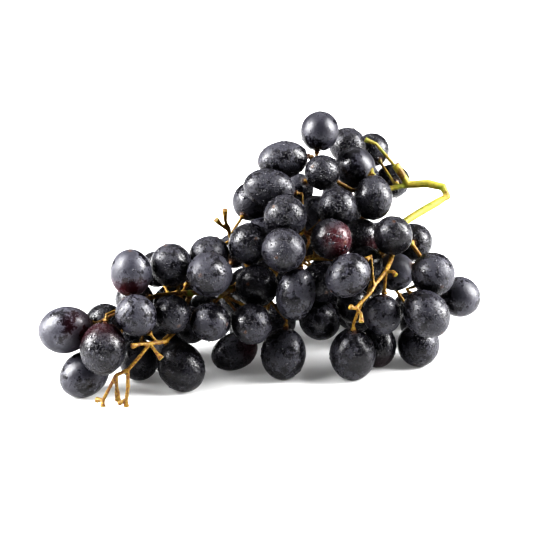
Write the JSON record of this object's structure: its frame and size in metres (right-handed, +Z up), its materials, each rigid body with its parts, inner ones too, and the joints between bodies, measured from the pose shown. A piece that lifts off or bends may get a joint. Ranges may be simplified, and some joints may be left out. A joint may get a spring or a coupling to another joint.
{
  "type": "bunch of grapes",
  "caption": "Bunch of black table grapes lying on its side: plump blue-black berries with a grey bloom on a branching yellow-green stalk with a bent, cut peduncle.",
  "frame": {"origin": "on the surface the bunch lies on, under the middle of its bounding box", "axes": "+X along the bunch towards the cut peduncle, +Y across it towards its back, +Z up from the surface"},
  "size_m": [0.1974, 0.1314, 0.1083],
  "materials": {
    "berry_skin": "blue-black grape skin with a thin grey-blue bloom, wet in places",
    "stalk": "fresh stalk, yellow-green at the peduncle, golden and brown towards the twigs"
  },
  "bodies": {
    "root": {"stalk": "stalk", "berry_01": "berry_skin", "berry_02": "berry_skin", "berry_03": "berry_skin", "berry_04": "berry_skin", "berry_05": "berry_skin", "berry_06": "berry_skin", "berry_07": "berry_skin", "berry_08": "berry_skin", "berry_09": "berry_skin", "berry_10": "berry_skin", "berry_11": "berry_skin", "berry_12": "berry_skin", "berry_13": "berry_skin", "berry_14": "berry_skin", "berry_15": "berry_skin", "berry_16": "berry_skin", "berry_17": "berry_skin", "berry_18": "berry_skin", "berry_19": "berry_skin", "berry_20": "berry_skin", "berry_21": "berry_skin", "berry_22": "berry_skin", "berry_23": "berry_skin", "berry_24": "berry_skin", "berry_25": "berry_skin", "berry_26": "berry_skin", "berry_27": "berry_skin", "berry_28": "berry_skin", "berry_29": "berry_skin", "berry_30": "berry_skin", "berry_31": "berry_skin", "berry_32": "berry_skin", "berry_33": "berry_skin", "berry_34": "berry_skin", "berry_35": "berry_skin", "berry_36": "berry_skin", "berry_37": "berry_skin", "berry_38": "berry_skin", "berry_39": "berry_skin", "berry_40": "berry_skin", "berry_41": "berry_skin", "berry_42": "berry_skin", "berry_43": "berry_skin", "berry_44": "berry_skin", "berry_45": "berry_skin", "berry_46": "berry_skin", "berry_47": "berry_skin", "berry_48": "berry_skin", "berry_49": "berry_skin", "berry_50": "berry_skin", "berry_51": "berry_skin", "berry_52": "berry_skin", "berry_53": "berry_skin", "back_berries_1": "berry_skin", "back_berries_2": "berry_skin", "back_berries_3": "berry_skin", "back_berries_4": "berry_skin", "back_berries_5": "berry_skin", "back_berries_6": "berry_skin"}
  },
  "joints": []
}
